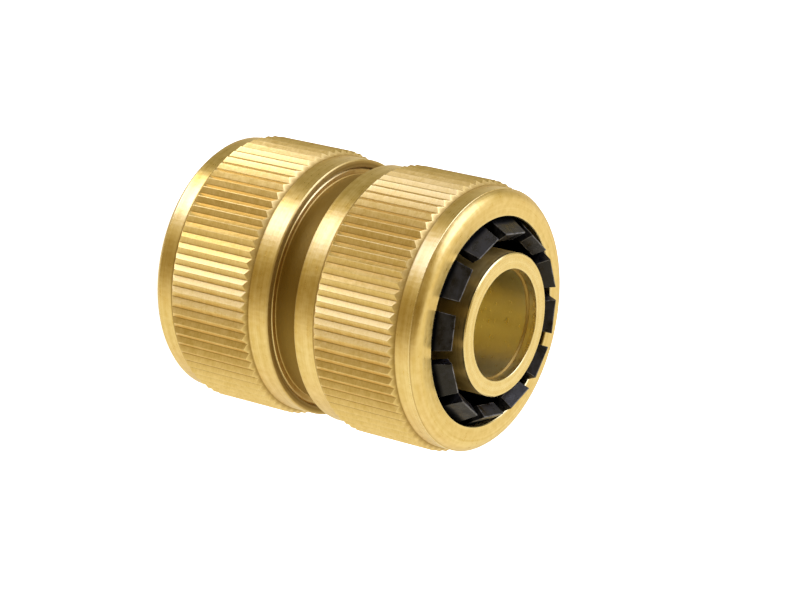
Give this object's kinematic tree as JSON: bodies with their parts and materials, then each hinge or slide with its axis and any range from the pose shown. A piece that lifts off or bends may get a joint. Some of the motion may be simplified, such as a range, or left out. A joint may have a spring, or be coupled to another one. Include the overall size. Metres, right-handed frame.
{
  "type": "hose connector",
  "caption": "Brass straight hose mender with a smooth spigot at each end, clamped by plastic claw collets under knurled screw nuts.",
  "frame": {"origin": "centre of the lower spigot's end ring, which the connector stands on", "axes": "+Z along the waterway to the upper end, +X through the middle of one claw of each collet"},
  "size_m": [0.0354, 0.0354, 0.0457],
  "materials": {
    "turned_brass": "fine turned satin",
    "knurled_brass": "satin, with a straight V-grooved knurl",
    "black_plastic": "moulded, slightly satin"
  },
  "bodies": {
    "body": {"connector_body": "turned_brass"},
    "upper_collet": {"upper_collet": "black_plastic"},
    "upper_nut": {"upper_nut": "knurled_brass"},
    "lower_collet": {"lower_collet": "black_plastic"},
    "lower_nut": {"lower_nut": "knurled_brass"}
  },
  "joints": [
    {"name": "upper_thread_travel", "type": "slide", "parent": "body", "child": "upper_collet", "axis": [0, 0, 1], "range_m": [0, 0.00525]},
    {"name": "upper_nut_turn", "type": "hinge", "parent": "upper_collet", "child": "upper_nut", "pos_m": [0, 0, 0.0343], "axis": [0, 0, 1], "range_deg": [0, 1260]},
    {"name": "lower_thread_travel", "type": "slide", "parent": "body", "child": "lower_collet", "axis": [0, 0, -1], "range_m": [0, 0.00525]},
    {"name": "lower_nut_turn", "type": "hinge", "parent": "lower_collet", "child": "lower_nut", "pos_m": [0, 0, 0.0114], "axis": [0, 0, -1], "range_deg": [0, 1260]}
  ],
  "couplings": [
    {"joint": "upper_thread_travel", "follows": "upper_nut_turn", "m_per_rad": 0.00023873},
    {"joint": "lower_thread_travel", "follows": "lower_nut_turn", "m_per_rad": 0.00023873}
  ]
}
